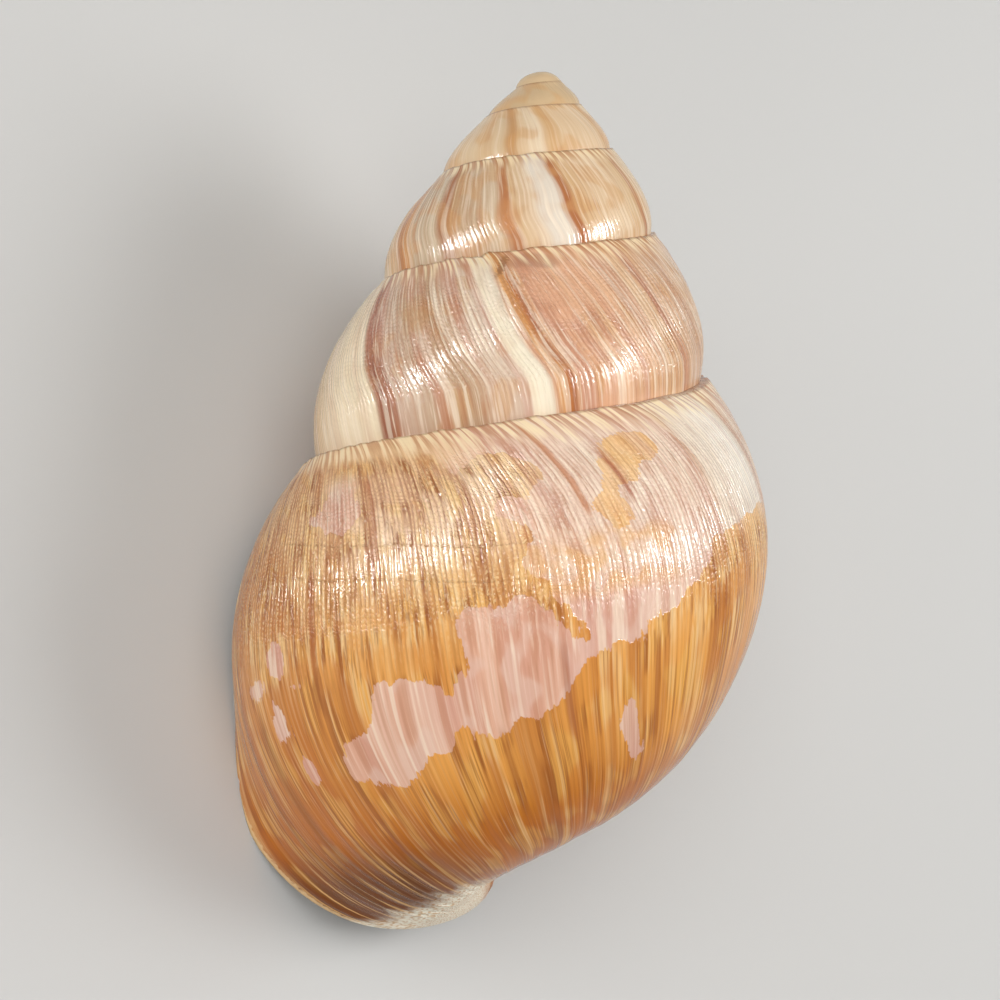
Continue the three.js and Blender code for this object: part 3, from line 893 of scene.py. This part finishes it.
def shell_skin():
    """Outside of the shell: bare shell banded by its growth, under a golden skin worn off in patches."""
    finish = Finish("snail_shell_outside")
    on = Outside(finish)
    length, place, middle, mottle, speck = on.length, on.place, on.middle, on.mottle, on.speck
    thin = length.step(556, 542) * place.step(0.85, 0.70)
    skin = skin_cover(on)
    seen = skin * (1 - thin * (on.broad.step(0.44, 0.60) * 0.35 + 0.10))
    colour = finish.blend(seen, bare_shell(finish, on), golden_skin(finish, on, thin))
    film = length.step(530, 538) * length.step(561, 554) * place.step(0.60, 0.70) * place.step(1.0, 0.88)
    colour = finish.blend(film * (mottle.step(0.42, 0.60) * 0.45 + 0.15), colour, tint(226, 168, 98))
    for centre, half, first, last, share, shade in BODY_STREAKS:
        streak = (on.record_at - centre).size().step(half, half * 0.35)
        streak = streak * place.step(first - 0.04, first + 0.04) * place.step(last + 0.05, last - 0.05)
        colour = finish.blend(streak * share, colour, tint(*shade))

    # seam edge with short cream and brown crimps, then the hollow behind the lip and the lip's pale edge
    crimp = (on.grown * (2 * math.pi / CRIMP_PERIOD) + on.broad * 14 + middle * 9).wave()
    band = (place + (on.fine - 0.5) * 0.14 + (mottle - 0.5) * 0.12).step(0.19, 0.03)
    band = band * place.step(-0.02, 0.0) * length.step(40, 200)
    seam = (on.across + (speck - 0.5) * 0.5).step(0.75, 0.1) * length.step(10, 40)
    hollow = length.step(566, 600) * place.step(1.52, 1.74) * place.step(2.05, 1.88)
    edge = (length + (speck - 0.5) * 0.8).step(LIP_LENGTH - 0.9, LIP_LENGTH - 0.5) * place.step(1.2, 1.5)
    colour = finish.layers(colour, (
        (band * crimp.step(0.2, -0.7) * 0.80, (246, 224, 182)),
        (band * crimp.step(0.0, 0.8) * 0.60, (184, 124, 76)),
        (seam * 0.5, (146, 104, 66)),
        (hollow * 0.82, (98, 52, 18)),
        (hollow * middle.step(0.46, 0.38) * 0.85, (214, 166, 104)),
        (edge * 0.8, (222, 190, 142)),
    ))

    # the rough pale lip, and the milky glaze inside the mouth and just before it
    rough = length.step(572, 586) * place.step(2.9, 2.6)
    rough = rough * (place + (mottle - 0.5) * 0.12).step(1.84, 1.95)
    chalk = finish.blend(speck.step(0.45, 0.66), tint(255, 248, 230), tint(218, 186, 146))
    colour = finish.blend(rough * 0.95, colour, chalk)
    glaze = place.step(1.25, 1.40) * length.step(MOUTH_LENGTH + 14, MOUTH_LENGTH + 2)
    colour = finish.blend(glaze * 0.85, colour, tint(232, 222, 210))

    crest = 1 - (1 - on.ribs) ** 1.6
    height = crest * (0.14 + on.strong * 0.50) - on.groove * on.strong * 0.36
    height = height + on.fine * 0.35 + middle * 0.5
    height = height + skin * 0.25 + speck * (rough * 1.2 + 0.12) - on.furrow * 0.8
    normal = finish.bump(height * (1 - glaze * 0.8), BUMP_HEIGHT)
    gloss = 0.10 + mottle * 0.10 + rough * 0.45
    return finish.surface({"Base Color": colour, "Roughness": gloss, "Normal": normal, "IOR": 1.36})


def inner_lining():
    """Inside of the shell and the edge of the lip: smooth, milky and slightly blue."""
    finish = Finish("snail_shell_inside")
    length, place = finish.map("growth")
    streak = finish.noise(length * LENGTH_UNIT * 0.5, place, 9)
    colour = finish.blend(streak.step(0.35, 0.7), tint(226, 220, 212), tint(212, 200, 190))
    normal = finish.bump(streak, 0.0001, 0.4)
    return finish.surface({"Base Color": colour, "Roughness": 0.25, "Normal": normal})


def make_shell():
    wall = make_wall()
    tip = make_tip()
    pillar = make_pillar()
    outside, inside = shell_skin(), inner_lining()
    wall.data.materials[0] = outside
    wall.data.materials[1] = inside
    tip.data.materials.append(outside)
    pillar.data.materials.append(inside)
    only(wall)
    tip.select_set(True)
    pillar.select_set(True)
    bpy.ops.object.join()
    wall.name = "snail_shell"
    co = read_corners(wall.data)
    co[:, 2] = np.maximum(co[:, 2], 0)
    write_corners(wall.data, co)
    return wall


shell = make_shell()
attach(shell, "root")
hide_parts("shell")


# Floor, lights and camera
def make_floor():
    deselect_all()
    bpy.ops.mesh.primitive_plane_add(size=4, location=(0, 0, -0.0001))
    floor = bpy.context.object
    floor.name = "floor"
    finish = Finish("pale_floor")
    floor.data.materials.append(finish.surface({"Base Color": (0.60, 0.595, 0.58, 1), "Roughness": 0.9,
                                              "Specular IOR Level": 0.0}))


CAMERA_ROLL = math.radians(1.602)
CAMERA_TILT = math.radians(1.2525)
CAMERA_DISTANCE = 375.133
PIVOT = Vector((0, 0, -65))
MM_PER_PIXEL = 0.15
PIVOT_PIXEL = (520.5034, 493.3503)
IMAGE = 1000


def row_place(point):
    return (LAY @ Vector(point) + SEAT) * MM


def make_camera():
    ahead = Vector((0, math.cos(CAMERA_TILT), -math.sin(CAMERA_TILT)))
    level = Vector((0, math.sin(CAMERA_TILT), math.cos(CAMERA_TILT)))
    side = Vector((1, 0, 0))
    right = math.cos(CAMERA_ROLL) * side + math.sin(CAMERA_ROLL) * level
    top = -math.sin(CAMERA_ROLL) * side + math.cos(CAMERA_ROLL) * level
    turn = Matrix([LAY @ right, LAY @ top, LAY @ -ahead]).transposed()
    data = bpy.data.cameras.new("camera")
    data.sensor_width = 36
    data.lens = CAMERA_DISTANCE / MM_PER_PIXEL / IMAGE * data.sensor_width
    data.shift_x = (IMAGE / 2 - PIVOT_PIXEL[0]) / IMAGE
    data.shift_y = (PIVOT_PIXEL[1] - IMAGE / 2) / IMAGE
    data.clip_start = 0.01
    camera = bpy.data.objects.new("camera", data)
    camera.matrix_world = Matrix.Translation(row_place(PIVOT - CAMERA_DISTANCE * ahead)) @ turn.to_4x4()
    bpy.context.collection.objects.link(camera)
    bpy.context.scene.camera = camera


def make_light(name, direction, distance, width, height, power, glint=True, fill=True):
    """A soft panel that shines at the middle of the shell, its direction in shell axes.

    One without glint isn't mirrored in the shell, and one without fill is only mirrored.
    """
    data = bpy.data.lights.new(name, "AREA")
    data.shape = "RECTANGLE"
    data.size = width
    data.size_y = height
    data.energy = power
    light = bpy.data.objects.new(name, data)
    back = (LAY @ Vector(direction)).normalized()
    level = (LAY @ Vector((0, 0, 1))).cross(back).normalized()
    turn = Matrix((level, back.cross(level), back)).transposed()
    light.matrix_world = Matrix.Translation(row_place(PIVOT) + back * distance) @ turn.to_4x4()
    light.visible_diffuse = fill
    light.visible_glossy = glint
    bpy.context.collection.objects.link(light)


def make_world():
    world = bpy.data.worlds.new("studio")
    bpy.context.scene.world = world
    world.use_nodes = True
    world.node_tree.nodes["Background"].inputs[0].default_value = (1.0, 0.985, 0.96, 1)
    world.node_tree.nodes["Background"].inputs[1].default_value = 0.24


make_floor()
make_camera()
make_light("left_window", (-0.77, -0.58, 0.20), 0.6, 0.30, 0.30, 1.2)
make_light("right_window", (0.91, -0.38, 0.17), 0.6, 0.30, 0.30, 2.0)
make_light("left_glint", (-0.79, -0.56, 0.30), 0.6, 0.14, 0.13, 8.0, fill=False)
make_light("right_glint", (0.91, -0.38, 0.17), 0.6, 0.14, 0.13, 8.0, fill=False)
make_light("front_fill", (0.15, -1.0, 0.35), 0.9, 0.7, 0.7, 3.9, glint=False)
make_light("low_fill", (-0.25, -0.75, -0.75), 0.6, 0.3, 0.3, 0.55, glint=False)
make_world()
